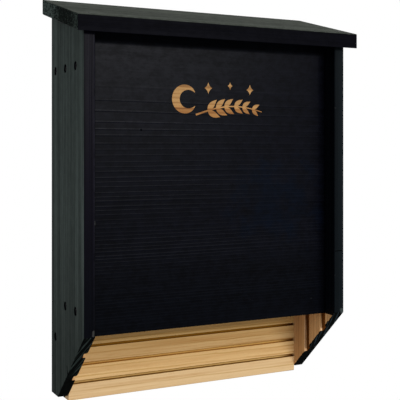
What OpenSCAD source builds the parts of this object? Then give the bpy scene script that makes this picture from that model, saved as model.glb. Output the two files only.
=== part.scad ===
// Two-chamber bat box. Two side boards carry the front panel and the partition in
// housings, a thick kerfed back board closes the rear and is the landing, and a
// sloping roof board covers all of them. Bats land on the back board below the panel
// and climb into the two slots.
// Frame: X across and centred, Y = 0 on the back face with the front towards -Y,
// Z up from the line on which the two hanging slots take their screws.

/* [Body] */
// Width over the two side boards
body_w = 350; // [300:1:420]
// Height of a side board along its back edge
side_h = 461; // [430:1:520]
// Thickness of a side board
side_t = 14; // [12:0.5:18]
// Height of the slanted cut at the foot of a side board
foot_rise = 88; // [70:1:95]
// Depth of the slanted cut at the foot of a side board
foot_run = 95; // [80:1:100]
// Width of the flat that breaks every outer edge
arris = 1; // [0.4:0.1:1.5]

/* [Panel and partition] */
// How far the front panel is set back from the side boards' front edges
setback = 24; // [18:0.5:30]
// Thickness of the front panel
panel_t = 8; // [7:0.5:10]
// How far the panel and the partition hang below the side boards' front corners
panel_drop = 4; // [0:0.5:8]
// Thickness of the partition
partition_t = 8; // [7:0.5:10]
// Free height between the partition and the roof at the partition's front face
pass_h = 28; // [20:1:40]
// Depth of the front chamber
front_gap = 29; // [24:0.5:34]
// Depth of the rear chamber
rear_gap = 26; // [22:0.5:32]

/* [Back board] */
// Thickness of the back board
back_t = 24; // [19:0.5:26]
// How far the back board hangs below the side boards
back_drop = 6.5; // [0:0.5:8]

/* [Roof] */
// Thickness of the roof board
roof_t = 17.5; // [15:0.5:22]
// Fall of the roof towards the front, in degrees
roof_slope = 15; // [10:0.5:18]
// Overhang of the roof past the side boards' front edges
roof_front = 13; // [8:0.5:20]
// Overhang of the roof past each side board
roof_side = 11.5; // [6:0.5:18]

/* [Housings] */
// Depth of the housings cut in the side boards
housing_depth = 5; // [4:0.5:6]
// Play on each side of a board in its housing
housing_play = 0.2; // [0.1:0.05:0.4]
// Play at each end of a board in its housing
end_play = 0.3; // [0.1:0.1:0.6]
// Rounding of a housing's front shoulder
shoulder_front = 4; // [1:0.5:4]
// Rounding of a housing's rear shoulder
shoulder_rear = 1.5; // [1:0.25:2.5]

/* [Grip kerfs] */
// Distance between two kerfs
kerf_pitch = 21.2; // [16:0.2:26]
// Height of the lowest kerf above the back board's foot
kerf_first = 21.2; // [12:0.2:24]
// Width of a kerf
kerf_w = 3.4; // [2.6:0.1:4.4]
// Depth of the kerfs in the back board
kerf_back = 4; // [3:0.25:6]
// Depth of the kerfs in the panel and the partition
kerf_thin = 1.2; // [0.8:0.1:1.6]

/* [Side screws] */
// Diameter of the counterbores
cbore_d = 10.5; // [9.5:0.25:12]
// Depth of the counterbores
cbore_depth = 4; // [3:0.25:4.5]
// Shank diameter of the side screws
screw_d = 4; // [3.5:0.25:4.5]
// Length of the side screws below the head
screw_len = 35; // [30:1:45]
// Diameter of the side screws' heads
head_d = 8.4; // [7.6:0.2:9]
// Height of the side screws' heads
head_h = 2.4; // [2:0.1:2.8]
// Distance of the upper screws below the side boards' top back corners
screw_top = 70; // [60:1:80]
// Height of the lower screws above the front panel's foot
screw_low = 30; // [22:1:45]
// Height of the back board's lower screws above the side boards' feet
screw_back_low = 71; // [50:1:90]
// Play between a shank and its bore, all round
screw_play = 0.05; // [0.02:0.01:0.1]

/* [Roof screws] */
// Shank diameter of the roof screws
roof_screw_d = 3.5; // [3:0.25:4]
// Length of the roof screws, head included
roof_screw_len = 40; // [36:1:46]
// Diameter of the roof screws' countersunk heads
roof_head_d = 6.5; // [6:0.25:7.5]
// Distance of the front roof screws behind the side boards' front edges
roof_screw_inset = 8; // [6:0.5:9]
// Distance between the two roof screws in the back board
roof_screw_pitch = 150; // [100:1:200]

/* [Hanging slots] */
// Distance between the two hanging slots
hang_pitch = 203; // [150:1:240]
// Distance of the hanging line below the side boards' top back corners
hang_drop = 60; // [50:1:80]
// Diameter of the entry hole that takes a screw head
hang_entry_d = 12.7; // [12.5:0.1:15]
// Depth of the entry hole
hang_depth = 10; // [9:0.5:13]
// Width of the slot's neck, for the screw's shank
hang_neck_w = 5; // [4.5:0.1:5.5]
// Width of the undercut behind the neck, for the screw's head
hang_head_w = 8.6; // [8:0.1:8.6]
// Thickness of the lip that the screw's head hooks behind
hang_lip = 4; // [3:0.25:5]
// Rise from the entry hole's centre to the hanging line
hang_rise = 14; // [12:0.5:18]

/* [Hidden] */

black_paint = [0.10, 0.105, 0.11];
bare_cedar = [0.80, 0.62, 0.41];
black_steel = [0.16, 0.16, 0.17];

// How far a cutting solid runs past the face that it opens
over = 1;

// Planes across the depth, from the back face at Y = 0 forwards
back_y = -back_t;
partition_y = back_y - rear_gap - partition_t;
panel_y = partition_y - front_gap - panel_t;
front_y = panel_y - setback;

// Levels
foot_z = hang_drop - side_h;
panel_foot_z = foot_z + foot_rise - panel_drop;
back_foot_z = foot_z - back_drop;

// Clear width between the side boards, and width of a board in its housings
clear_w = body_w - 2 * side_t;
housed_w = clear_w + 2 * (housing_depth - end_play);

// Roof: height of its underside over a point at depth y, and its height measured plumb
function under_roof(y) = hang_drop + y * tan(roof_slope);
roof_plumb = roof_t / cos(roof_slope);
roof_edge_y = front_y - roof_front;

// Seats of one side's screws, as [depth, level], in the order of their nodes
screw_top_z = hang_drop - screw_top;
panel_seats = [for (z = [screw_top_z, panel_foot_z + screw_low]) [panel_y + panel_t / 2, z]];
partition_seats = [for (z = [screw_top_z, panel_foot_z + screw_low])
    [partition_y + partition_t / 2, z]];
back_seats = [for (z = [screw_top_z, foot_z + screw_back_low]) [back_y * 2 / 3, z]];

// Side screws: blunt end of the tip, bore, rim of the domed head and cross recess
tip_len = screw_d;
tip_d = screw_d / 6;
bore_d = screw_d + 2 * screw_play;
head_top_d = head_d * 0.8;
head_rim = head_h / 2;
cross_w = head_d / 2;
cross_slot = head_d / 9;
cross_depth = head_h * 0.6;

// Roof screws: how far they reach below the roof and lean back on the way, the countersink
// and the square recess
roof_reach = roof_screw_len - roof_t;
roof_lean = roof_reach * sin(roof_slope);
roof_head_angle = 82;
roof_head_h = (roof_head_d - roof_screw_d) / 2 / tan(roof_head_angle / 2);
roof_square = roof_head_d / 3;
roof_side_x = (body_w - side_t) / 2;
roof_front_y = front_y + roof_screw_inset;
roof_rear_y = back_y - rear_gap / 2 - roof_lean / 2;
roof_back_y = (back_y - roof_lean) / 2;

// Curves
$fn = 48;

// Carries an outline drawn in depth and height along X, centred
module along_x(width) {
    rotate([90, 0, 90]) linear_extrude(width, center = true) children();
}

// A convex outline carried along X, with every edge broken by a flat
module eased_board(width) {
    hull() {
        along_x(width) offset(delta = -arris) children();
        along_x(width - 2 * arris) children();
    }
}

// Outline of an upright board between two depths, bevelled at the top to fit the roof
module upright_outline(y0, y1, foot) {
    polygon([
        [y0, foot + arris], [y0 + arris, foot], [y1 - arris, foot], [y1, foot + arris],
        [y1, under_roof(y1)], [y0, under_roof(y0)]
    ]);
}

// Outline of one round-bottomed kerf cut into a face at depth y, facing dir along Y
module kerf_outline(y, z, depth, dir) {
    bottom = y - dir * (depth - kerf_w / 2);
    translate([bottom, z]) circle(d = kerf_w);
    translate([min(bottom, y + dir * over), z - kerf_w / 2])
        square([abs(y + dir * over - bottom), kerf_w]);
}

// All kerfs of a face, level with those of the landing, from one height up to another
module kerf_outlines(y, depth, dir, from_z, to_z) {
    first = back_foot_z + kerf_first;
    start = ceil((from_z + kerf_w - first) / kerf_pitch);
    end = floor((to_z - kerf_w - first) / kerf_pitch);
    for (i = [max(0, start) : end]) kerf_outline(y, first + i * kerf_pitch, depth, dir);
}

// Plan of a housing in the left side board, with a long round shoulder at the front of
// its mouth and a tight one at the rear
module housing_plan(y, thickness) {
    width = thickness + 2 * housing_play;
    translate([-clear_w / 2 - housing_depth, y - width / 2])
        square([housing_depth + over, width]);
    shoulder_plan(y - width / 2, -1, shoulder_front);
    shoulder_plan(y + width / 2, 1, shoulder_rear);
}

// Rounding between a housing's wall at depth y and the inner face, on the side of dir
module shoulder_plan(y, dir, radius) {
    edge = -clear_w / 2 - radius;
    difference() {
        translate([edge, min(y - dir * over, y + dir * radius)])
            square([radius + over, radius + over]);
        translate([edge, y + dir * radius]) circle(radius);
    }
}

// Cut for one side screw: the counterbore and the bore for its shank, left side
module side_screw_cut(seat) {
    translate([-body_w / 2 - over, seat[0], seat[1]]) rotate([0, 90, 0]) {
        cylinder(h = cbore_depth + over, d = cbore_d);
        cylinder(h = cbore_depth + over + screw_len, d = bore_d);
    }
}

// The same cut on both sides
module side_screw_cuts(seats) {
    for (seat = seats) {
        side_screw_cut(seat);
        mirror([1, 0, 0]) side_screw_cut(seat);
    }
}

// Puts children on the roof's top face, +Z out of it, where an axis square to the roof
// crosses the underside at x and y
module on_roof(x, y) {
    translate([x, y, under_roof(y)]) rotate([roof_slope, 0, 0]) translate([0, 0, roof_t])
        children();
}

// Cut for one roof screw: a countersink flush with the roof's top and the shank's bore
module roof_screw_cut(x, y) {
    on_roof(x, y) {
        translate([0, 0, -roof_head_h])
            cylinder(h = roof_head_h, d1 = roof_screw_d, d2 = roof_head_d);
        translate([0, 0, -roof_screw_len])
            cylinder(h = roof_screw_len + over, d = roof_screw_d + 2 * screw_play);
        cylinder(h = over, d = roof_head_d);
    }
}

// Boards

// Keyhole slot in the back face: entry hole, neck up to the hanging line, undercut
module hanging_slot(x) {
    translate([x, 0, -hang_rise]) rotate([90, 0, 0]) {
        translate([0, 0, -over]) cylinder(h = hang_depth + over, d = hang_entry_d);
        translate([0, 0, -over]) linear_extrude(hang_depth + over) slot_plan(hang_neck_w);
        translate([0, 0, hang_lip]) linear_extrude(hang_depth - hang_lip)
            slot_plan(hang_head_w);
    }
}

// Plan of a slot that runs up from the entry hole and ends round on the hanging line
module slot_plan(width) {
    translate([-width / 2, 0]) square([width, hang_rise]);
    translate([0, hang_rise]) circle(d = width);
}

module back_board() {
    color(bare_cedar) difference() {
        along_x(clear_w) difference() {
            upright_outline(back_y, 0, back_foot_z);
            kerf_outlines(back_y, kerf_back, -1, back_foot_z, under_roof(back_y));
        }
        side_screw_cuts(back_seats);
        for (side = [-1, 1]) {
            hanging_slot(side * hang_pitch / 2);
            roof_screw_cut(side * roof_screw_pitch / 2, roof_back_y);
        }
    }
}

module side_board() {
    color(black_paint) difference() {
        translate([-(body_w - side_t) / 2, 0, 0]) eased_board(side_t)
            polygon([
                [front_y, under_roof(front_y)], [0, under_roof(0)], [0, foot_z],
                [front_y + foot_run, foot_z], [front_y, foot_z + foot_rise]
            ]);
        translate([0, 0, foot_z - over]) linear_extrude(side_h + 2 * over) {
            housing_plan(panel_y + panel_t / 2, panel_t);
            housing_plan(partition_y + partition_t / 2, partition_t);
        }
        for (seat = concat(panel_seats, partition_seats, back_seats)) side_screw_cut(seat);
        for (y = [roof_front_y, roof_rear_y]) roof_screw_cut(-roof_side_x, y);
    }
}

module left_side() {
    side_board();
}

module right_side() {
    mirror([1, 0, 0]) side_board();
}

module front_panel() {
    color(black_paint) difference() {
        along_x(housed_w) difference() {
            upright_outline(panel_y, panel_y + panel_t, panel_foot_z);
            kerf_outlines(panel_y + panel_t, kerf_thin, 1, panel_foot_z, under_roof(panel_y));
        }
        side_screw_cuts(panel_seats);
    }
}

module partition() {
    rear = partition_y + partition_t;
    top = under_roof(partition_y) - pass_h;
    color(bare_cedar) difference() {
        along_x(housed_w) difference() {
            polygon([
                [partition_y, panel_foot_z + arris], [partition_y + arris, panel_foot_z],
                [rear - arris, panel_foot_z], [rear, panel_foot_z + arris],
                [rear, top - arris], [rear - arris, top],
                [partition_y + arris, top], [partition_y, top - arris]
            ]);
            kerf_outlines(partition_y, kerf_thin, -1, panel_foot_z, top);
            kerf_outlines(rear, kerf_thin, 1, panel_foot_z, top);
        }
        side_screw_cuts(partition_seats);
    }
}

module roof() {
    color(black_paint) difference() {
        eased_board(body_w + 2 * roof_side)
            polygon([
                [roof_edge_y, under_roof(roof_edge_y)], [0, under_roof(0)],
                [0, under_roof(0) + roof_plumb],
                [roof_edge_y, under_roof(roof_edge_y) + roof_plumb]
            ]);
        for (side = [-1, 1]) {
            for (y = [roof_front_y, roof_rear_y]) roof_screw_cut(side * roof_side_x, y);
            roof_screw_cut(side * roof_screw_pitch / 2, roof_back_y);
        }
    }
}

// Screws

// Side screw with its head's underside at the origin and its shank along +Z
module side_screw() {
    color(black_steel) {
        difference() {
            union() {
                translate([0, 0, -head_h])
                    cylinder(h = head_h - head_rim, d1 = head_top_d, d2 = head_d);
                translate([0, 0, -head_rim]) cylinder(h = head_rim, d = head_d);
            }
            for (turn = [0, 90]) rotate([0, 0, turn])
                translate([-cross_w / 2, -cross_slot / 2, -head_h - over])
                    cube([cross_w, cross_slot, cross_depth + over]);
        }
        cylinder(h = screw_len - tip_len, d = screw_d);
        translate([0, 0, screw_len - tip_len]) cylinder(h = tip_len, d1 = screw_d, d2 = tip_d);
    }
}

// Left side screw on the floor of its counterbore
module left_screw(seat) {
    translate([-body_w / 2 + cbore_depth, seat[0], seat[1]]) rotate([0, 90, 0]) side_screw();
}

module right_screw(seat) {
    mirror([1, 0, 0]) left_screw(seat);
}

// Countersunk roof screw, its head flush with the roof's top face
module roof_screw(x, y) {
    tip = roof_screw_d;
    color(black_steel) on_roof(x, y) difference() {
        union() {
            translate([0, 0, -roof_head_h])
                cylinder(h = roof_head_h, d1 = roof_screw_d, d2 = roof_head_d);
            translate([0, 0, tip - roof_screw_len])
                cylinder(h = roof_screw_len - tip, d = roof_screw_d);
            translate([0, 0, -roof_screw_len])
                cylinder(h = tip, d1 = tip_d, d2 = roof_screw_d);
        }
        translate([-roof_square / 2, -roof_square / 2, -roof_head_h / 2])
            cube([roof_square, roof_square, roof_head_h]);
    }
}

back_board();
left_side();
right_side();
front_panel();
partition();
roof();
left_screw(panel_seats[0]);  // left_screw_panel_top
left_screw(panel_seats[1]);  // left_screw_panel_low
left_screw(partition_seats[0]);  // left_screw_partition_top
left_screw(partition_seats[1]);  // left_screw_partition_low
left_screw(back_seats[0]);  // left_screw_back_top
left_screw(back_seats[1]);  // left_screw_back_low
right_screw(panel_seats[0]);  // right_screw_panel_top
right_screw(panel_seats[1]);  // right_screw_panel_low
right_screw(partition_seats[0]);  // right_screw_partition_top
right_screw(partition_seats[1]);  // right_screw_partition_low
right_screw(back_seats[0]);  // right_screw_back_top
right_screw(back_seats[1]);  // right_screw_back_low
roof_screw(-roof_side_x, roof_front_y);  // roof_screw_left_front
roof_screw(-roof_side_x, roof_rear_y);  // roof_screw_left_rear
roof_screw(roof_side_x, roof_front_y);  // roof_screw_right_front
roof_screw(roof_side_x, roof_rear_y);  // roof_screw_right_rear
roof_screw(-roof_screw_pitch / 2, roof_back_y);  // roof_screw_back_left
roof_screw(roof_screw_pitch / 2, roof_back_y);  // roof_screw_back_right
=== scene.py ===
"""Looks of the bat box: stained and bare cedar, raised grain, inlaid ornament, light and camera."""
import math

import bmesh
import bpy
import numpy as np
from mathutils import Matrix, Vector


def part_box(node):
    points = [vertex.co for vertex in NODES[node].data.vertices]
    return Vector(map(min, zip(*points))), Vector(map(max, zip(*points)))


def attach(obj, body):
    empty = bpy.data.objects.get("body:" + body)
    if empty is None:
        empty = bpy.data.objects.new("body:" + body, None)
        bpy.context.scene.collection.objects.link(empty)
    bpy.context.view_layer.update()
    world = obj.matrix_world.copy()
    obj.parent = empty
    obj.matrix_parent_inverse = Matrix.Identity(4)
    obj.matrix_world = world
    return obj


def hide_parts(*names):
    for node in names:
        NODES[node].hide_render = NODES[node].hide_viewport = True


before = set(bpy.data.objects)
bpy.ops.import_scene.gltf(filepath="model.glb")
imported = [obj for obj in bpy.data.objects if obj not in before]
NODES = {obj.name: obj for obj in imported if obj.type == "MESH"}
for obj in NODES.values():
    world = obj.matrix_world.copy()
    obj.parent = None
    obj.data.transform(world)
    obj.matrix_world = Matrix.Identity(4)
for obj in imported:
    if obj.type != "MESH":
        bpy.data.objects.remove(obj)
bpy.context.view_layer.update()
MM = 0.001


def corners(name):
    """Lowest and highest corner of a CAD node as arrays."""
    low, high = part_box(name)
    return np.array(low), np.array(high)


LEFT_LOW = corners("left_side")[0]
PANEL_LOW, PANEL_HIGH = corners("front_panel")
BACK_LOW, BACK_HIGH = corners("back_board")
ROOF_LOW, ROOF_HIGH = corners("roof")
SIDE_OUT = -LEFT_LOW[0]
SIDE_IN = BACK_HIGH[0]
SIDE_FOOT = LEFT_LOW[2]
FRONT_Y = LEFT_LOW[1]
PANEL_Y = PANEL_LOW[1]
PANEL_FOOT = PANEL_LOW[2]
LANDING_Y = BACK_LOW[1]

# Set in the construction: roof, housings, the slanted foot of the side boards, kerfs, broken edges
ROOF_SLOPE = math.radians(15)
HOUSING_DEPTH = 5 * MM
CUT_RISE = 88 * MM
CUT_RUN = 95 * MM
ARRIS = 1 * MM
KERF_PITCH = 21.2 * MM
KERF_WIDTH = 3.4 * MM
PANEL_KERF_DEPTH = 1.2 * MM
KERF_LOWEST = BACK_LOW[2] + KERF_PITCH
UPPER_KERF = KERF_LOWEST + 2 * KERF_PITCH
HOUSING_Y = [(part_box(name)[0][1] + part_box(name)[1][1]) / 2 for name in ("front_panel", "partition")]

# Relief of the finishes, as shares of a millimetre, and the look of a scar
CEDAR_RELIEF = 0.06
STAIN_RELIEF = 0.12
CEDAR_SUNK = 0.1
SCAR_RELIEF = -0.3
SCAR_BLACK = (0.0004, 0.0004, 0.0005, 1)

# Places of wear and of painted light and shade: the blue cast, the blot of the roof's ends, the darker
# lower outer faces, the fading painted arris highlight and the painted shadow band under the roof
CAST_X, CAST_Z = 88 * MM, -172 * MM
CAST_HALF_WIDTH, CAST_HALF_HEIGHT = 85 * MM, 72 * MM
BLOT_FROM_FRONT = 41 * MM
BLOT_CORE, BLOT_RIM = 20 * MM, 46 * MM
BLOT_RAGGED = 120 * MM
LOW_FACE_FROM, LOW_FACE_TO = -380 * MM, -150 * MM
ARRIS_FADES, ARRIS_CLEAR = -400 * MM, -60 * MM
ROOF_SHADOW_FROM, ROOF_SHADOW_TO = 15 * MM, 19 * MM
GRAIN_FALL = 0.0075


# Node graphs in short calls


class Graph:
    """Builds a node tree. A call adds one node, or a few in a row, and gives back the last output."""

    def __init__(self, tree):
        self.tree = tree

    def add(self, kind, output=0, **inputs):
        """Adds a node; a key that names a property sets it, any other key sets or links an input."""
        node = self.tree.nodes.new(kind)
        sockets = {}
        for key, value in inputs.items():
            if hasattr(node, key) and key not in ("inputs", "outputs"):
                setattr(node, key, value)
            else:
                sockets[key] = value
        for key, value in sockets.items():
            name = int(key[2:]) if key.startswith("in") and key[2:].isdigit() else key.replace("_", " ")
            self.feed(node.inputs[name], value)
        self.last = node
        return node.outputs[output]

    def feed(self, socket, value):
        """Links a socket to an input, or writes a plain value into it."""
        if isinstance(value, bpy.types.NodeSocket):
            self.tree.links.new(value, socket)
        else:
            socket.default_value = value

    def math(self, operation, a, b=0.0, c=0.0, clamp=False):
        """One step of arithmetic on up to three numbers."""
        return self.add("ShaderNodeMath", operation=operation, use_clamp=clamp, in0=a, in1=b, in2=c)

    def product(self, *values):
        """All values multiplied."""
        result = values[0]
        for value in values[1:]:
            result = self.math("MULTIPLY", result, value)
        return result

    def total(self, *values):
        """All values added."""
        result = values[0]
        for value in values[1:]:
            result = self.math("ADD", result, value)
        return result

    def between(self, factor, a, b):
        """The number that lies factor of the way from a to b."""
        return self.math("MULTIPLY_ADD", factor, self.math("SUBTRACT", b, a), a)

    def step(self, value, low, high):
        """Smooth step of value from low to high."""
        return self.add("ShaderNodeMapRange", interpolation_type="SMOOTHSTEP", in0=value, in1=low, in2=high)

    def fall(self, value, low, high):
        """1 under low, 0 over high, smooth between."""
        return self.math("SUBTRACT", 1.0, self.step(value, low, high))

    def mix(self, factor, a, b, blend="MIX"):
        """Mix of two colours."""
        node = self.tree.nodes.new("ShaderNodeMix")
        node.data_type, node.blend_type = "RGBA", blend
        self.feed(node.inputs[0], factor)
        self.feed(node.inputs[6], a)
        self.feed(node.inputs[7], b)
        return node.outputs[2]

    def vector(self, operation, a, b, output=0):
        """One step of arithmetic on two vectors; output 1 is its plain number."""
        return self.add("ShaderNodeVectorMath", output, operation=operation, in0=a, in1=b)

    def split(self, vector):
        """The three parts of a vector."""
        self.add("ShaderNodeSeparateXYZ", in0=vector)
        return self.last.outputs[:]

    def join(self, x, y, z):
        """A vector of three parts."""
        return self.add("ShaderNodeCombineXYZ", in0=x, in1=y, in2=z)

    def noise(self, vector, scale, detail=2.0, rough=0.5):
        """Soft noise from 0 to 1, with scale cells to the unit."""
        return self.add("ShaderNodeTexNoise", Vector=vector, Scale=scale, Detail=detail, Roughness=rough)

    def swing(self, vector, scale, detail=2.0, rough=0.5):
        """Soft noise from -0.5 to 0.5."""
        return self.math("SUBTRACT", self.noise(vector, scale, detail, rough), 0.5)

    def scaled(self, vector, scale):
        """A vector scaled part by part."""
        return self.add("ShaderNodeMapping", Vector=vector, Scale=scale)

    def away(self, value, middle):
        """Distance of a value from a middle one, on either side."""
        return self.math("ABSOLUTE", self.math("SUBTRACT", value, middle))


def effect(name, inputs, outputs):
    """An empty shader node group with named sockets; gives the group, its graph, the sockets that its
    graph reads and the sockets that it has to feed."""
    group = bpy.data.node_groups.new(name, "ShaderNodeTree")
    for label, kind, value in inputs:
        socket = group.interface.new_socket(label, in_out="INPUT", socket_type="NodeSocket" + kind)
        if value is not None:
            socket.default_value = value
    for label, kind in outputs:
        group.interface.new_socket(label, in_out="OUTPUT", socket_type="NodeSocket" + kind)
    graph = Graph(group)
    source = group.nodes.new("NodeGroupInput")
    sink = group.nodes.new("NodeGroupOutput")
    return group, graph, source.outputs, sink.inputs


def solid_wood_effect():
    """Growth rings of a log cut by the board: rings lie at whole multiples of the ring width from the
    pith line, which runs along the vector's Z; noise bends them slowly along the grain and makes them
    unevenly wide and strong. Ring is 1 on the hard late wood, Fibre is fine streaks along the grain,
    Streak broad ones, Tone a slow change of tone, Cloud soft patches and Pores fine short dashes. Each
    of these is noise with its cells to the metre given twice across the grain and once along it."""
    group, g, given, result = effect(
        "solid_wood",
        [("Vector", "Vector", None), ("Pith X", "Float", 0.0), ("Pith Y", "Float", 0.1),
         ("Ring Width", "Float", 0.004), ("Warp", "Float", 0.002), ("Late Wood", "Float", 0.3)],
        [("Ring", "Float"), ("Fibre", "Float"), ("Streak", "Float"), ("Tone", "Float"), ("Cloud", "Float"),
         ("Pores", "Float")],
    )
    vector = given["Vector"]
    bend = g.product(g.swing(g.scaled(vector, (9, 9, 1.6)), 1.0), given["Warp"], 4.0)
    x, y, z = g.split(vector)
    dx = g.math("SUBTRACT", x, given["Pith X"])
    dy = g.math("SUBTRACT", y, given["Pith Y"])
    radius = g.math("SQRT", g.total(g.product(dx, dx), g.product(dy, dy)))
    turns = g.math("DIVIDE", g.total(radius, bend), given["Ring Width"])
    uneven = g.noise(g.join(g.product(turns, 0.45), 0.0, 0.0), 1.0, 1.0)
    turns = g.total(turns, g.product(uneven, 1.6))
    phase = g.math("FRACT", turns)
    rise = g.step(phase, g.math("SUBTRACT", 0.96, given["Late Wood"]), 0.94)
    strength = g.noise(g.join(g.math("FLOOR", turns), g.product(z, 3.0), 0.0), 1.7, 0.0)
    ring = g.product(rise, g.fall(phase, 0.95, 1.0), g.step(strength, 0.25, 0.7))
    g.feed(result["Ring"], ring)
    g.feed(result["Fibre"], g.noise(g.scaled(vector, (480, 480, 12)), 1.0, 3.0, 0.65))
    g.feed(result["Streak"], g.noise(g.scaled(vector, (210, 210, 2.5)), 1.0, 2.0, 0.6))
    g.feed(result["Tone"], g.noise(g.scaled(vector, (40, 40, 2.2)), 1.0, 3.0, 0.55))
    g.feed(result["Cloud"], g.noise(g.scaled(vector, (130, 130, 80)), 1.0, 4.0, 0.78))
    g.feed(result["Pores"], g.noise(g.scaled(vector, (1500, 1500, 60)), 1.0, 1.0, 0.5))
    return group


def worn_mark_effect():
    """A ragged mark along the line between two points: 1 where the distance to that line, roughened by
    noise, is under about half the width. Equal points give a round spot."""
    group, g, given, result = effect(
        "worn_mark",
        [("Vector", "Vector", None), ("From", "Vector", (0, 0, 0)), ("To", "Vector", (0, 0, 0)),
         ("Width", "Float", 0.001)],
        [("Mark", "Float")],
    )
    run = g.vector("SUBTRACT", given["To"], given["From"])
    start = g.vector("SUBTRACT", given["Vector"], given["From"])
    length = g.math("MAXIMUM", g.vector("DOT_PRODUCT", run, run, 1), 1e-12)
    share = g.math("DIVIDE", g.vector("DOT_PRODUCT", start, run, 1), length, clamp=True)
    nearest = g.add("ShaderNodeVectorMath", operation="SCALE", in0=run, Scale=share)
    away = g.vector("DISTANCE", start, nearest, 1)
    away = g.total(away, g.product(g.swing(given["Vector"], 900.0), given["Width"], 0.9))
    g.feed(result["Mark"], g.fall(away, g.product(given["Width"], 0.35), g.product(given["Width"], 0.65)))
    return group


def stain_effect():
    """Thin black stain on wood: the late wood stands proud and catches light, the early wood drinks
    the stain, brush streaks follow the fibre and the coat lies in soft clouds. Gives colour,
    roughness and height."""
    group, g, given, result = effect(
        "black_stain",
        [("Ring", "Float", 0.0), ("Fibre", "Float", 0.5), ("Streak", "Float", 0.5), ("Tone", "Float", 0.5),
         ("Cloud", "Float", 0.5), ("Ring Lift", "Float", 0.3), ("Streaky", "Float", 0.3),
         ("Cloudy", "Float", 0.2), ("Deep", "Color", (0.001, 0.001, 0.001, 1)),
         ("Worn", "Color", (0.005, 0.005, 0.006, 1)), ("Rough", "Float", 0.4)],
        [("Colour", "Color"), ("Roughness", "Float"), ("Height", "Float")],
    )
    amount = g.total(
        g.product(g.step(given["Fibre"], 0.35, 0.7), 0.18),
        g.product(g.step(given["Tone"], 0.3, 0.7), 0.2),
        g.product(g.step(given["Streak"], 0.32, 0.68), given["Streaky"]),
        g.product(g.step(given["Cloud"], 0.35, 0.65), given["Cloudy"]),
    )
    amount = g.math("MULTIPLY_ADD", given["Ring"], given["Ring Lift"], amount, clamp=True)
    g.feed(result["Colour"], g.mix(amount, given["Deep"], given["Worn"]))
    g.feed(result["Roughness"], g.math("MULTIPLY_ADD", amount, -0.1, g.total(given["Rough"], 0.05)))
    g.feed(result["Height"], g.math("MULTIPLY_ADD", given["Fibre"], 0.35, given["Ring"]))
    return group


def cedar_effect():
    """Bare planed cedar: pale early wood, brown late wood, fine fibre, streaks and slow patches."""
    group, g, given, result = effect(
        "bare_cedar",
        [("Ring", "Float", 0.0), ("Fibre", "Float", 0.5), ("Streak", "Float", 0.5), ("Tone", "Float", 0.5),
         ("Pores", "Float", 0.5), ("Pale", "Color", (0.78, 0.52, 0.26, 1)),
         ("Brown", "Color", (0.48, 0.25, 0.09, 1))],
        [("Colour", "Color"), ("Roughness", "Float"), ("Height", "Float")],
    )
    brown = g.total(
        g.product(g.step(given["Tone"], 0.25, 0.75), 0.3),
        g.product(g.step(given["Streak"], 0.4, 0.75), 0.3),
        g.product(g.step(given["Fibre"], 0.5, 0.8), 0.3),
        g.product(g.step(given["Pores"], 0.62, 0.75), 0.3),
    )
    brown = g.math("MULTIPLY_ADD", given["Ring"], 0.6, brown, clamp=True)
    g.feed(result["Colour"], g.mix(brown, given["Pale"], given["Brown"]))
    g.feed(result["Roughness"], g.math("MULTIPLY_ADD", given["Fibre"], 0.16, 0.58))
    g.feed(result["Height"], g.math("MULTIPLY_ADD", given["Ring"], 0.5, given["Fibre"]))
    return group


SOLID_WOOD = solid_wood_effect()
WORN_MARK = worn_mark_effect()
BLACK_STAIN = stain_effect()
BARE_CEDAR = cedar_effect()


def place(g, group, **inputs):
    """Places an effect in a material and gives its outputs by name."""
    node = g.tree.nodes.new("ShaderNodeGroup")
    node.node_tree = group
    for key, value in inputs.items():
        g.feed(node.inputs[key.replace("_", " ")], value)
    return node.outputs


def new_material(name):
    """A material with a Principled shader; gives the material, its graph and the shader."""
    material = bpy.data.materials.new(name)
    material.use_nodes = True
    shader = material.node_tree.nodes["Principled BSDF"]
    return material, Graph(material.node_tree), shader


def marks(g, where, places):
    """Mask of worn marks that are given as (from, to, width) in millimetres."""
    mask = 0.0
    for start, end, width in places:
        ends = {"From": np.array(start) * MM, "To": np.array(end) * MM}
        mark = place(g, WORN_MARK, Vector=where, Width=width * MM, **ends)["Mark"]
        mask = g.math("MAXIMUM", mask, mark)
    return mask


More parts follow.
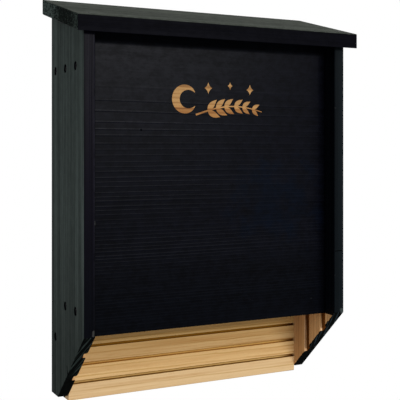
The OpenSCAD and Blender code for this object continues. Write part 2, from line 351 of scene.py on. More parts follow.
def wood_material(name, grain, pith, ring_width, bare=None, tints=(), shades=(), scars=(), cedar=None,
                  ring_lift=0.3, streaky=0.3, cloudy=0.2, warp=0.002, shift=(0, 0, 0), gloss=0.05,
                  relief=STAIN_RELIEF, ring_from=None):
    """Stained cedar, bare where bare(graph, x, y, z) is 1. grain is the axis that the fibre follows,
    pith the log's centre across it in metres. tints is a list of (mask, deep, worn, roughness) of the
    stain, the first without a mask; no tints means bare wood all over. shades is a list of (mask,
    colour) that the bare wood is multiplied by. cedar gives the bare wood's own pale and brown. scars
    are dark marks. ring_lift, streaky and cloudy say how much rings, streaks and clouds wear the
    stain, and shift moves the board to another stretch of noise. ring_from names a mesh attribute
    that gives the rings instead of the log."""
    material, g, shader = new_material(name)
    where = g.add("ShaderNodeTexCoord", "Object")
    x, y, z = g.split(where)
    along = g.join(z, y, x) if grain == "x" else where
    along = g.vector("ADD", along, shift)
    wood = place(g, SOLID_WOOD, Vector=along, Pith_X=pith[0] + shift[0], Pith_Y=pith[1] + shift[1],
                 Ring_Width=ring_width, Warp=warp)
    pattern = {key: wood[key] for key in ("Ring", "Fibre", "Streak", "Tone")}
    if ring_from:
        pattern["Ring"] = g.add("ShaderNodeAttribute", "Fac", attribute_name=ring_from)
    cedar_out = place(g, BARE_CEDAR, Pores=wood["Pores"], **pattern, **(cedar or {}))
    colour = cedar_out["Colour"]
    for mask, shade in shades:
        colour = g.mix(mask(g, x, y, z), colour, shade, "MULTIPLY")
    roughness = cedar_out["Roughness"]
    height = g.product(cedar_out["Height"], CEDAR_RELIEF)
    if tints:
        deep, worn, rough = tints[0][1:]
        for mask, *others in tints[1:]:
            amount = mask(g, x, y, z)
            deep, worn = g.mix(amount, deep, others[0]), g.mix(amount, worn, others[1])
            rough = g.between(amount, rough, others[2])
        stain = place(g, BLACK_STAIN, Cloud=wood["Cloud"], Ring_Lift=ring_lift, Streaky=streaky,
                      Cloudy=cloudy, Deep=deep, Worn=worn, Rough=rough, **pattern)
        mask = bare(g, x, y, z)
        colour = g.mix(mask, stain["Colour"], colour)
        roughness = g.between(mask, stain["Roughness"], roughness)
        sunk = g.math("SUBTRACT", height, CEDAR_SUNK)
        height = g.between(mask, g.product(stain["Height"], relief), sunk)
    if scars:
        scar = marks(g, where, scars)
        colour = g.mix(scar, colour, SCAR_BLACK)
        roughness = g.between(scar, roughness, 1.0)
        height = g.math("MULTIPLY_ADD", scar, SCAR_RELIEF, height)
    shader.inputs["Specular IOR Level"].default_value = gloss
    g.feed(shader.inputs["Base Color"], colour)
    g.feed(shader.inputs["Roughness"], roughness)
    g.feed(shader.inputs["Normal"], g.add("ShaderNodeBump", Height=height, Distance=MM, Strength=1.0))
    return material


# Masks of bare wood, of differently stained faces, of wear and of painted light and shade, from planes of
# the CAD parts


def over_cut(g, y, z):
    """Height above the slanted cut at a side board's foot."""
    slant = g.product(g.math("SUBTRACT", y, FRONT_Y), CUT_RISE / CUT_RUN)
    return g.math("SUBTRACT", g.total(z, slant), SIDE_FOOT + CUT_RISE)


def side_bare(sign):
    """Bare inner face and housings of a side board: behind the front panel's face, and in front of it
    below the panel's foot, but not on the slanted cut, whose black edge is ragged. sign is 1 for the
    left board and -1 for the right one."""

    def mask(g, x, y, z):
        floor = -SIDE_IN - HOUSING_DEPTH
        inner = g.step(g.product(x, sign), floor - 0.9 * MM, floor - 0.4 * MM)
        below = g.fall(z, PANEL_FOOT - 0.3 * MM, PANEL_FOOT + 0.6 * MM)
        behind = g.step(y, PANEL_Y + 0.5 * MM, PANEL_Y + 1.2 * MM)
        ragged = g.product(g.noise(g.join(0.0, y, z), 260.0, 2.0), 2.2 * MM)
        clear = g.step(g.math("SUBTRACT", over_cut(g, y, z), ragged), 0.0, 0.6 * MM)
        before = g.fall(y, BACK_HIGH[1] - 1.2 * MM, BACK_HIGH[1] - 0.6 * MM)
        return g.product(inner, clear, before, g.math("MAXIMUM", below, behind))

    return mask


def back_bare(g, x, y, z):
    """Bare front half of the back board, black behind it."""
    return g.fall(y, LANDING_Y + 12 * MM, LANDING_Y + 13.5 * MM)


def panel_bare(g, x, y, z):
    """Bare rear face of the front panel."""
    return g.step(y, PANEL_Y + 6 * MM, PANEL_Y + 6.8 * MM)


def roof_bare(g, x, y, z):
    """Bare underside of the roof over the chambers."""
    level = g.math("MULTIPLY_ADD", y, math.tan(ROOF_SLOPE), BACK_HIGH[2])
    under = g.math("LESS_THAN", g.math("SUBTRACT", z, level), 0.6 * MM)
    inside = g.math("LESS_THAN", g.math("ABSOLUTE", x), SIDE_IN)
    before = g.math("LESS_THAN", y, LANDING_Y + 6 * MM)
    return g.product(under, inside, before, g.math("GREATER_THAN", y, PANEL_Y))


def outer_face(sign):
    """Outer face of a side board; sign is 1 for the left one and -1 for the right one."""

    def mask(g, x, y, z):
        return g.fall(g.product(x, sign), -SIDE_OUT + 0.4 * MM, -SIDE_OUT + 0.8 * MM)

    return mask


def cut_face(g, x, y, z):
    """The slanted cut of a side board and the level face under it."""
    slanted = g.fall(over_cut(g, y, z), 0.5 * MM, 0.9 * MM)
    level = g.fall(z, SIDE_FOOT + 0.5 * MM, SIDE_FOOT + 0.9 * MM)
    return g.math("MAXIMUM", slanted, level)


def cut_streaks(g, x, y, z):
    """Pale torn fibres that run slantwise over the upper part of the cut, inwards as they rise."""
    slantwise = g.math("MULTIPLY_ADD", z, 0.4, g.math("ABSOLUTE", x))
    streak = g.noise(g.join(g.product(slantwise, 430.0), g.product(z, 30.0), 0.0), 1.0, 2.0)
    upper = g.step(z, SIDE_FOOT + 22 * MM, SIDE_FOOT + 45 * MM)
    return g.product(cut_face(g, x, y, z), upper, g.step(streak, 0.5, 0.66))


def front_edge(g, x, y, z):
    """Front edge of a side board."""
    return g.fall(y, FRONT_Y + 0.4 * MM, FRONT_Y + 0.9 * MM)


def outer_arris(g, x, y, z):
    """Front edge of a side board towards its outer arris, made lighter there as a painted highlight."""
    outwards = g.step(g.math("ABSOLUTE", x), SIDE_IN + 2 * MM, SIDE_OUT - 1 * MM)
    return g.product(front_edge(g, x, y, z), outwards)


def inner_rim_shadow(g, x, y, z):
    """Painted shade, dark, on the broken edge between a side board's front edge and its inner face, which
    turns away from the light.
    """
    return g.product(g.fall(g.math("ABSOLUTE", x), SIDE_IN + 0.6 * MM, SIDE_IN + 1 * MM),
                     g.fall(y, FRONT_Y + 1.2 * MM, FRONT_Y + 2 * MM))


def outer_rim(g, x, y, z):
    """Dark rounded rim of a side board's front edge, at its outer face."""
    return g.product(front_edge(g, x, y, z),
                     g.step(g.math("ABSOLUTE", x), SIDE_OUT - 1.5 * MM, SIDE_OUT - 1 * MM))


def low_part(low, high):
    """Fades in downwards between two heights, given in millimetres."""

    def mask(g, x, y, z):
        return g.fall(z, low * MM, high * MM)

    return mask


def low_face(sign):
    """Lower part of a side board's outer face, fading out upwards."""

    def mask(g, x, y, z):
        return g.product(outer_face(sign)(g, x, y, z), g.fall(z, LOW_FACE_FROM, LOW_FACE_TO))

    return mask


def front_arris(g, x, y, z):
    """Painted highlight on the inner arris of a side board's front edge, broken by noise and fading towards
    the foot.
    """
    near = g.fall(g.away(g.math("ABSOLUTE", x), SIDE_IN + 1.5 * MM), 0.3 * MM, 0.9 * MM)
    front = g.fall(y, FRONT_Y + 0.9 * MM, FRONT_Y + 1.3 * MM)
    rubbed = g.step(g.noise(g.join(0.0, 0.0, z), 60.0, 3.0), 0.3, 0.6)
    return g.product(near, front, rubbed, g.step(z, ARRIS_FADES, ARRIS_CLEAR))


def scuffed(places):
    """Small scuffs, given as (from, to, width) in millimetres."""

    def mask(g, x, y, z):
        return marks(g, g.join(x, y, z), places)

    return mask


def roof_end(g, x, y, z):
    """The roof's plumb ends with their end grain."""
    return g.step(g.math("ABSOLUTE", x), ROOF_HIGH[0] - 0.8 * MM, ROOF_HIGH[0] - 0.4 * MM)


def roof_end_blot(strength):
    """Dark blot where the end grain of the roof's ends drank most stain, ragged at its rim."""

    def mask(g, x, y, z):
        ragged = g.product(g.swing(g.join(0.0, y, z), 110.0, 4.0, 0.7), BLOT_RAGGED)
        away = g.total(g.away(y, ROOF_LOW[1] + BLOT_FROM_FRONT), ragged)
        return g.product(roof_end(g, x, y, z), g.fall(away, BLOT_CORE, BLOT_RIM), strength)

    return mask


def roof_end_front(g, x, y, z):
    """Duller end grain towards the roof's front corner, at half strength."""
    forwards = g.fall(y, ROOF_LOW[1] + 15 * MM, ROOF_LOW[1] + 45 * MM)
    return g.product(roof_end(g, x, y, z), forwards, 0.5)


def end_specks(low, high, shift):
    """Specks of the end grain on the roof's ends, finer up than across: noise that starts to show at
    low and shows fully at high. shift picks another stretch of it."""

    def mask(g, x, y, z):
        specks = g.noise(g.join(g.math("MULTIPLY_ADD", y, 0.35, shift), 0.0, z), 560.0, 1.0, 0.6)
        return g.product(roof_end(g, x, y, z), g.step(specks, low, high))

    return mask


def roof_top(g, x, y, z):
    """The roof's weather face."""
    level = g.math("MULTIPLY_ADD", y, -math.tan(ROOF_SLOPE), z)
    return g.step(level, ROOF_HIGH[2] - 0.8 * MM, ROOF_HIGH[2] - 0.4 * MM)


def blue_patch(g, x, y, z):
    """Where the panel's coat has a blue cast, right of its middle: an ellipse, ragged with noise."""
    across = g.product(g.math("SUBTRACT", x, CAST_X), 1 / CAST_HALF_WIDTH)
    up = g.product(g.math("SUBTRACT", z, CAST_Z), 1 / CAST_HALF_HEIGHT)
    ragged = g.product(g.noise(g.join(x, 0.0, z), 34.0, 5.0, 0.6), 4.4)
    away = g.total(g.product(across, across), g.product(up, up), ragged)
    return g.fall(away, 1.9, 3.1)


def roof_shadow_band(g, x, y, z):
    """Top of the panel just under the roof, darkened there as a painted shadow of the roof's overhang."""
    return g.step(z, ROOF_SHADOW_FROM, ROOF_SHADOW_TO)


def near_kerf(number, g, z):
    """Distance up or down from the middle of a kerf, counted from the lowest."""
    return g.away(z, KERF_LOWEST + number * KERF_PITCH)


def in_kerf(number):
    """Inside one kerf of the landing, counted from the lowest."""

    def mask(g, x, y, z):
        within = g.fall(near_kerf(number, g, z), 0.6 * KERF_WIDTH, 0.7 * KERF_WIDTH)
        return g.product(within, g.step(y, LANDING_Y + 0.1 * MM, LANDING_Y + 0.9 * MM))

    return mask


def kerf_lip_shadows(number):
    """Painted shade on the lips of one kerf: two thin dark lines on the landing's face."""

    def mask(g, x, y, z):
        from_lip = g.math("SUBTRACT", near_kerf(number, g, z), 0.5 * KERF_WIDTH)
        wavy = g.swing(g.join(x, 0.0, z), 120.0)
        away = g.math("ABSOLUTE", g.math("MULTIPLY_ADD", wavy, 0.8 * MM, from_lip))
        return g.fall(away, 0.15 * MM, 0.75 * MM)

    return mask


def kerf_end_shadows(g, x, y, z):
    """Painted shade in the kerfs' right ends, in the corner against the side board."""
    end = g.step(x, SIDE_IN - 26 * MM, SIDE_IN - 1 * MM)
    return g.product(end, g.step(y, LANDING_Y + 0.1 * MM, LANDING_Y + 0.7 * MM))


def shadow_under_panel_foot(g, x, y, z):
    """The landing above the kerf under the panel's foot, darkened as painted shade under the panel."""
    return g.step(z, UPPER_KERF - 1.2 * MM, UPPER_KERF + 1.2 * MM)


def shade_rising_to_panel(g, x, y, z):
    """Painted shade: the landing grows darker and browner upwards, as far as the kerf under the panel's
    foot.
    """
    below_kerf = g.fall(z, UPPER_KERF - 1.2 * MM, UPPER_KERF + 1.2 * MM)
    return g.product(g.step(z, BACK_LOW[2] + 22 * MM, UPPER_KERF), below_kerf)


def middle_course(g, x, y, z):
    """The landing between its two lower kerfs, a little yellower."""
    kerf = KERF_LOWEST + KERF_PITCH
    above = g.step(z, KERF_LOWEST - 1 * MM, KERF_LOWEST + 1 * MM)
    return g.product(above, g.fall(z, kerf - 1 * MM, kerf + 1 * MM))


def grain_lines(levels):
    """Thin brown lines of the grain at given heights in millimetres, slightly wavy and broken; they
    sink a little to the right."""

    def mask(g, x, y, z):
        wavy = g.product(g.swing(g.join(x, 0.0, z), 25.0), 2.5 * MM)
        height = g.total(z, g.product(x, GRAIN_FALL), wavy)
        lines = [g.fall(g.away(height, level * MM), 0.2 * MM, 1.3 * MM) for level in levels]
        strength = g.step(g.noise(g.join(g.product(x, 8.0), 0.0, g.product(z, 60.0)), 1.0, 1.0), 0.25, 0.6)
        return g.product(g.total(*lines), strength)

    return mask


def near_housing(g, y):
    """1 in the reach of either housing."""
    near = [g.fall(g.away(y, centre), 4.4 * MM, 5 * MM) for centre in HOUSING_Y]
    return g.math("MAXIMUM", *near)


def housing_painted_shadow(g, x, y, z):
    """Painted shadow in the inner corners of a side board's housings, wider towards the top."""
    lower = g.fall(z, SIDE_FOOT + 40 * MM, PANEL_FOOT + 3 * MM)
    start = g.between(lower, SIDE_IN + 1.2 * MM, SIDE_IN + 3.4 * MM)
    deep = g.step(g.math("SUBTRACT", g.math("ABSOLUTE", x), start), 0.0, 0.9 * MM)
    return g.product(deep, near_housing(g, y))


def housing_painted_highlight(g, x, y, z):
    """Painted highlight on the rear walls of the housings near the inner face, lower down, where light
    reaches them.
    """
    depth = g.math("SUBTRACT", g.math("ABSOLUTE", x), SIDE_IN)
    shallow = g.product(g.step(depth, 0.2 * MM, 0.5 * MM), g.fall(depth, 1.8 * MM, 3.2 * MM))
    return g.product(shallow, near_housing(g, y), g.fall(z, PANEL_FOOT - 30 * MM, PANEL_FOOT - 6 * MM))


def dress(name, material):
    """Gives a CAD node its material."""
    mesh = NODES[name].data
    mesh.materials.clear()
    mesh.materials.append(material)


# Stains: deep colour, worn colour, roughness; one that lies all over a board has None for its mask
PANEL_BLACK = (None, (0.0002, 0.0003, 0.0011, 1), (0.003, 0.0034, 0.0064, 1), 0.36)
# Painted shade: a darker copy of the stain, low on the boards' fronts and in the band under the roof
PAINTED_SHADE_BLACK = ((0.0, 0.0, 0.0003, 1), (0.001, 0.0015, 0.0032, 1), 0.62)
ROOF_BLACK = (None, (0.0003, 0.0003, 0.001, 1), (0.0018, 0.0018, 0.0038, 1), 0.5)
VIOLET_BLACK = (None, (0.0002, 0.0001, 0.0009, 1), (0.0024, 0.0018, 0.0055, 1), 0.38)
BLUE_BLACK = (None, (0.0003, 0.0005, 0.001, 1), (0.0022, 0.0028, 0.0044, 1), 0.42)
BACK_BLACK = (None, (0.0008, 0.0012, 0.0014, 1), (0.01, 0.0125, 0.013, 1), 0.6)
TEAL_BLACK = ((0.001, 0.0019, 0.0026, 1), (0.0034, 0.0056, 0.0072, 1), 0.45)
# Painted highlight along the outer arris of the right board's front edge
OUTER_ARRIS_HIGHLIGHT_TEAL = ((0.0018, 0.003, 0.004, 1), (0.006, 0.009, 0.011, 1), 0.42)
FOOT_TEAL = ((0.02, 0.028, 0.028, 1), (0.05, 0.063, 0.062, 1), 0.6)
# Painted light: the side boards' outer faces get a lighter, greener copy of the black stain of their
# fronts, as lit from the left and above, and a darker copy lower down
LIT_FACE_GREEN = ((0.012, 0.0165, 0.015, 1), (0.06, 0.077, 0.073, 1), 0.8)
LIT_FACE_LOW_GREEN = ((0.007, 0.0105, 0.0095, 1), (0.038, 0.048, 0.044, 1), 0.8)
# Black of the sawn cuts, also used as painted shade on the left board's inner rim
SAWN_AND_SHADE_BLACK = ((0.0001, 0.0001, 0.0001, 1), (0.0012, 0.002, 0.0018, 1), 1.0)
TORN_GREY = ((0.012, 0.018, 0.017, 1), (0.03, 0.042, 0.038, 1), 0.9)
TORN_TEAL = ((0.009, 0.015, 0.019, 1), (0.024, 0.036, 0.045, 1), 0.9)
# Painted highlight along the inner arris of the left board's front edge
ARRIS_HIGHLIGHT_GREY = ((0.004, 0.004, 0.008, 1), (0.014, 0.013, 0.02, 1), 0.5)
SCUFF_GREY = ((0.045, 0.048, 0.046, 1), (0.08, 0.08, 0.075, 1), 0.8)
FAINT_GREY = ((0.008, 0.009, 0.01, 1), (0.02, 0.021, 0.022, 1), 0.6)
NICK_GREY = ((0.02, 0.02, 0.02, 1), (0.042, 0.042, 0.04, 1), 0.7)
# Painted light: a lighter grey-green copy of the roof's stain on its top face, standing in for the sheen it
# catches
LIT_ROOF_TOP_GREY = ((0.014, 0.018, 0.014, 1), (0.091, 0.102, 0.085, 1), 0.7)
BLUE_CAST = ((0.0002, 0.0008, 0.0026, 1), (0.0013, 0.0029, 0.0076, 1), 0.4)
END_GREY = ((0.013, 0.021, 0.019, 1), (0.08, 0.105, 0.097, 1), 0.85)
END_BLACK = ((0.0001, 0.0002, 0.0002, 1), (0.004, 0.007, 0.006, 1), 0.9)
END_PALE = ((0.024, 0.034, 0.029, 1), (0.07, 0.092, 0.082, 1), 0.9)
END_DIM = ((0.006, 0.009, 0.0075, 1), (0.026, 0.034, 0.029, 1), 0.9)

BROWN_CEDAR = {"Pale": (0.6, 0.35, 0.155, 1), "Brown": (0.25, 0.105, 0.03, 1)}
LANDING_CEDAR = {"Pale": (0.745, 0.542, 0.3, 1), "Brown": (0.45, 0.235, 0.078, 1)}
# Painted shade in the housings' inner corners, and a painted highlight on their rear walls
HOUSING_PAINTED_LIGHT = [(housing_painted_shadow, (0.3, 0.17, 0.07, 1)), (housing_painted_highlight, (1.5, 1.7, 2.3, 1))]

# Marks of wear: from, to and width in millimetres; grain lines: heights in millimetres
LEFT_SCUFFS = [((-161.2, -118.6, -158), (-161.2, -118.6, -158), 0.9),
               ((-161.2, -118.6, -184), (-161.2, -118.6, -188), 0.9),
               ((-162, -33, -398), (-163, -31, -400), 2.4)]
LEFT_NICK = [((-163.3, -119, -306), (-163.7, -119, -310.5), 2.4)]
LEFT_SPLIT = [((-175, -61, -356), (-175, -64, -368), 2.2)]
RIGHT_SCUFFS = [((161.2, -118.8, -51), (162.4, -119, -51.5), 1.5),
                ((161.2, -118.8, -264), (161.2, -118.8, -265), 1.1)]
RIGHT_FOOT = [((171.3, -119, -309.5), (172.6, -119, -313), 4.2)]
RIGHT_CRACK = [((161, -119, -234), (175, -119, -233.5), 1.1)]
ROOF_SCUFF = [((171, -132, 42.6), (174, -132, 42.2), 1.2)]
GRAIN_LEVELS = (-338.6, -353.6, -361.6, -371.5, -381, -397.9)

dress("left_side", wood_material(
    "stained_left_side", grain="z", pith=(-0.26, -0.12), ring_width=2.7 * MM, bare=side_bare(1),
    cedar=BROWN_CEDAR, shades=HOUSING_PAINTED_LIGHT[:1], scars=LEFT_SPLIT,
    # Darker low down on the board's front edge: painted shade
    tints=[VIOLET_BLACK, (low_part(-330, -130), *PAINTED_SHADE_BLACK), (outer_face(1), *LIT_FACE_GREEN),
           (low_face(1), *LIT_FACE_LOW_GREEN), (front_arris, *ARRIS_HIGHLIGHT_GREY), (inner_rim_shadow, *SAWN_AND_SHADE_BLACK),
           (cut_face, *SAWN_AND_SHADE_BLACK), (cut_streaks, *TORN_GREY), (scuffed(LEFT_SCUFFS), *SCUFF_GREY),
           (scuffed(LEFT_NICK), *NICK_GREY)],
    streaky=0.5, cloudy=0.16, gloss=0.025))
dress("right_side", wood_material(
    "stained_right_side", grain="z", pith=(0.25, -0.14), ring_width=3 * MM, bare=side_bare(-1),
    cedar=BROWN_CEDAR, shades=HOUSING_PAINTED_LIGHT, scars=RIGHT_CRACK, shift=(3, 1, 5),
    tints=[BLUE_BLACK, (outer_face(-1), *LIT_FACE_GREEN), (low_face(-1), *LIT_FACE_LOW_GREEN),
           (front_edge, *TEAL_BLACK), (outer_arris, *OUTER_ARRIS_HIGHLIGHT_TEAL), (outer_rim, *SAWN_AND_SHADE_BLACK),
           (cut_face, *SAWN_AND_SHADE_BLACK), (cut_streaks, *TORN_TEAL), (scuffed(RIGHT_FOOT), *FOOT_TEAL),
           (scuffed(RIGHT_SCUFFS), *FAINT_GREY)],
    streaky=0.5, cloudy=0.16, gloss=0.025))
dress("back_board", wood_material(
    "cedar_back_board", grain="x", pith=(-0.24, 0.12), ring_width=10.5 * MM, bare=back_bare,
    cedar=LANDING_CEDAR, tints=[BACK_BLACK], shift=(1, 4, 2),
    # The landing darkens towards the panel's foot: painted shade
    shades=[(shadow_under_panel_foot, (0.76, 0.69, 0.5, 1)), (shade_rising_to_panel, (0.65, 0.585, 0.44, 1)),
            (middle_course, (1.0, 0.95, 0.83, 1)),
            # The kerfs are darkened inside, the upper one under the panel most, with dark lips and dark
            # right ends: painted shade
            (grain_lines(GRAIN_LEVELS), (0.76, 0.68, 0.52, 1)), (in_kerf(2), (0.52, 0.35, 0.07, 1)),
            (in_kerf(1), (0.98, 0.9, 0.6, 1)), (in_kerf(0), (0.84, 0.76, 0.5, 1)),
            (kerf_lip_shadows(1), (0.75, 0.62, 0.42, 1)), (kerf_lip_shadows(0), (0.36, 0.26, 0.1, 1)),
            (kerf_end_shadows, (0.3, 0.16, 0.07, 1))],
    gloss=0.03))
dress("partition", wood_material(
    "cedar_partition", grain="x", pith=(-0.1, 0.2), ring_width=5 * MM, shift=(7, 2, 3)))
dress("roof", wood_material(
    "stained_roof", grain="x", pith=(0.3, -0.02), ring_width=4 * MM, bare=roof_bare, shift=(5, 3, 4),
    tints=[ROOF_BLACK, (roof_top, *LIT_ROOF_TOP_GREY), (roof_end, *END_GREY), (roof_end_front, *END_DIM),
           (end_specks(0.5, 0.6, 0), *END_BLACK), (roof_end_blot(1), *END_BLACK),
           (end_specks(0.56, 0.66, 3), *END_PALE), (roof_end_blot(0.45), *END_BLACK),
           (scuffed(ROOF_SCUFF), *SCUFF_GREY)],
    streaky=0.25, cloudy=0.35, gloss=0.015))


def screw_material():
    """Black phosphated steel: dark satin metal with faint mottling and brighter rubbed high spots."""
    material, g, shader = new_material("black_screw_steel")
    where = g.add("ShaderNodeTexCoord", "Object")
    mottle = g.noise(where, 1200.0, 3.0)
    rubbed = g.step(mottle, 0.4, 0.75)
    g.feed(shader.inputs["Base Color"], g.mix(rubbed, (0.002, 0.002, 0.0025, 1), (0.009, 0.009, 0.009, 1)))
    g.feed(shader.inputs["Roughness"], g.math("MULTIPLY_ADD", mottle, 0.3, 0.4))
    shader.inputs["Metallic"].default_value = 0.3
    shader.inputs["Specular IOR Level"].default_value = 0.1
    return material


SCREW_STEEL = screw_material()
for name in NODES:
    if "screw" in name:
        dress(name, SCREW_STEEL)


# The front panel with its raised grain


# The panel's log: its pith line, ring widths, bends and ridges, and where the ridges are stronger
PITH_LEVEL = PANEL_HIGH[2] - 44 * MM
PITH_DEPTH = 60 * MM
RING_NEAR = 8 * MM
RING_NEAR_RADIUS = 70 * MM
RING_NARROWING = 0.56
RING_BEND = 0.5 * MM
RIDGE_HEIGHT = 0.12 * MM
RIDGE_REACH = 0.5 * MM
STRONG_BELOW = PITH_LEVEL - 170 * MM
WEAK_LEVEL = -147 * MM
WEAK_REACH = 27 * MM
PLANED_WAVE = 0.03 * MM
RING_SEED, PLANED_SEED = 4, 9

# The panel's mesh, the edges that stay sharp, and its marks
MOST_KERFS = 20
PANEL_STATIONS = 49
PANEL_FINENESS = 0.32 * MM
SHARP_EDGE = math.radians(32)
PANEL_SCUFF = [((141, -95, -296), (141, -95, -296), 1.1)]
PANEL_KNOT = [((-96.3, -95, -81.7), (-96.3, -95, -81.7), 2.2)]


def slow_waves(x, z, seed, count=6):
    """Sum of sine waves with random directions and lengths, long along X; about -1 to 1."""
    rng = np.random.default_rng(seed)
    total = np.zeros(np.broadcast(x, z).shape)
    for _ in range(count):
        across = rng.uniform(3, 14) * rng.choice([-1, 1])
        up = rng.uniform(8, 60) * rng.choice([-1, 1])
        total += np.sin(across * x + up * z + rng.uniform(0, 2 * np.pi))
    return total / count ** 0.5


def ring_ridges(x, y, z):
    """Late wood on a flat-sawn board whose pith line runs along X: the radius from the pith, bent by
    slow waves, is turned into a ring number by a ring width that shrinks with the radius, two sines
    make the rings uneven, and each ring ends in a narrow ridge with a bell-shaped section, 0 to 1
    high. Its strength changes from ring to ring by a sine, is greater low on the board, dips round
    the weak level and goes to nothing at the top."""
    radius = np.hypot(z - PITH_LEVEL, y - PANEL_Y + PITH_DEPTH) + RING_BEND * slow_waves(x, z, RING_SEED)
    power = 1 + RING_NARROWING
    turns = (radius / RING_NEAR_RADIUS) ** power * RING_NEAR_RADIUS / (power * RING_NEAR)
    turns = turns + 0.1 * np.sin(turns * 2.1) + 0.06 * np.sin(turns * 5.3)
    number, phase = np.floor(turns), turns % 1
    width = RING_NEAR * (RING_NEAR_RADIUS / radius) ** RING_NARROWING
    away = np.minimum(phase, 1 - phase) * width
    strength = 0.7 + 0.25 * np.sin(number * 12.9898 + 4.1 * x)
    strength = strength * (1 + 0.35 * np.clip((STRONG_BELOW - z) / (60 * MM), 0, 1))
    strength = strength * (1 - 0.33 * np.exp(-((z - WEAK_LEVEL) / WEAK_REACH) ** 2))
    clear_top = np.clip((PITH_LEVEL - 20 * MM - z) / (20 * MM), 0, 1)
    return np.exp(-(away / RIDGE_REACH) ** 2) * strength * clear_top


def kerf_arc(z, y_face, half_angle, count=7):
    """Points of a kerf's round bottom in the rear face, from its upper lip to its lower one."""
    centre = y_face + KERF_WIDTH / 2 - PANEL_KERF_DEPTH
    turn = np.linspace(half_angle, -half_angle, count)
    return np.stack([centre - np.cos(turn) * KERF_WIDTH / 2, z + np.sin(turn) * KERF_WIDTH / 2], axis=1)


def panel_outline():
    """Depth and height of the panel's section: front face in fine steps from the foot up, the bevelled
    top, the rear face down over its kerfs, and the broken edges of the foot."""
    rear = PANEL_HIGH[1]
    front_top = PANEL_HIGH[2] - (rear - PANEL_Y) * math.tan(ROOF_SLOPE)
    levels = np.arange(PANEL_FOOT + ARRIS, front_top, PANEL_FINENESS)
    front = np.stack([np.full_like(levels, PANEL_Y), levels], axis=1)
    parts = [front, [[PANEL_Y, front_top]], [[rear, PANEL_HIGH[2]]]]
    half_angle = math.acos(1 - 2 * PANEL_KERF_DEPTH / KERF_WIDTH)
    for level in np.arange(KERF_LOWEST + MOST_KERFS * KERF_PITCH, KERF_LOWEST, -KERF_PITCH):
        if PANEL_FOOT + KERF_WIDTH <= level <= front_top - KERF_WIDTH:
            parts.append(kerf_arc(level, rear, half_angle))
    parts.append([[rear, PANEL_FOOT + ARRIS], [rear - ARRIS, PANEL_FOOT], [PANEL_Y + ARRIS, PANEL_FOOT]])
    return np.concatenate([np.asarray(part, float) for part in parts]), len(levels)


def solid(name, points, faces, material):
    """A closed mesh piece that rides on the box; its faces are turned outwards."""
    mesh = bpy.data.meshes.new(name)
    mesh.from_pydata(points, [], faces)
    made = bmesh.new()
    made.from_mesh(mesh)
    bmesh.ops.recalc_face_normals(made, faces=made.faces)
    made.to_mesh(mesh)
    made.free()
    mesh.polygons.foreach_set("use_smooth", np.ones(len(mesh.polygons), bool))
    mesh.set_sharp_from_angle(angle=SHARP_EDGE)
    mesh.materials.append(material)
    piece = bpy.data.objects.new(name, mesh)
    bpy.context.collection.objects.link(piece)
    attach(piece, "root")
    return piece


def swept_faces(rings, count):
    """Quads between neighbouring rings of points, and a face on each end."""
    ring = np.arange(rings - 1)[:, None] * count
    here = np.arange(count)[None, :]
    after = (here + 1) % count
    quads = np.stack([ring + here, ring + after, ring + count + after, ring + count + here], axis=-1)
    ends = [list(range(count)), list(range((rings - 1) * count, rings * count))]
    return quads.reshape(-1, 4).tolist() + ends


def grained_panel():
    """The front panel's section carried along X in equal steps; the front face is lifted forwards by
    the ridges of the late wood and by a slow unevenness of the planed face."""
    outline, fine = panel_outline()
    stations = np.linspace(PANEL_LOW[0], PANEL_HIGH[0], PANEL_STATIONS)
    x = np.repeat(stations[:, None], len(outline), axis=1)
    y = np.repeat(outline[None, :, 0], len(stations), axis=0)
    z = np.repeat(outline[None, :, 1], len(stations), axis=0)
    ridges = ring_ridges(x, y, z)
    lift = RIDGE_HEIGHT * ridges + PLANED_WAVE * slow_waves(x, z, PLANED_SEED)
    lift[:, fine:] = 0
    points = np.stack([x, y - lift, z], axis=-1).reshape(-1, 3)
    faces = swept_faces(len(stations), len(outline))
    material = wood_material(
        "stained_front_panel", grain="x", pith=(-0.3, -0.2), ring_width=4 * MM, bare=panel_bare,
        shift=(2, 8, 1), scars=PANEL_KNOT, ring_from="hard_grain", relief=0.02,
        # The panel is darker low down and in a band under the roof: painted shade
        tints=[PANEL_BLACK, (low_part(-300, -180), *PAINTED_SHADE_BLACK), (blue_patch, *BLUE_CAST),
               (roof_shadow_band, *PAINTED_SHADE_BLACK), (scuffed(PANEL_SCUFF), *FAINT_GREY)],
        ring_lift=0.4, streaky=0.1, cloudy=0.5, gloss=0.024)
    piece = solid("grained_front_panel", points, faces, material)
    piece.data.attributes.new("hard_grain", "FLOAT", "POINT").data.foreach_set("value", ridges.ravel())
    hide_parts("front_panel")


grained_panel()


# The inlaid ornament: a crescent, a leafy twig and stars of thin bare cedar


INLAY_PROUD = 0.25 * MM
TWIG_PROUD = 0.33 * MM
INLAY_SUNK = 0.3 * MM
INLAY_ROUND = 0.12 * MM
ORNAMENT_X, ORNAMENT_Z = 4.8 * MM, -47.5 * MM
INLAY_LINES = (-29.5, -38.5, -43.2, -49.5, -55.5, -59.8)
INLAY_CEDAR = wood_material(
    "inlaid_cedar", grain="x", pith=(-0.1, 0.2), ring_width=2.6 * MM, warp=0.001, shift=(2, 5, 9),
    cedar={"Pale": (0.43, 0.24, 0.085, 1), "Brown": (0.14, 0.055, 0.012, 1)},
    shades=[(low_part(-57, -49), (0.9, 0.76, 0.58, 1)),
            (grain_lines(INLAY_LINES), (0.72, 0.6, 0.45, 1))],
    gloss=0.2)


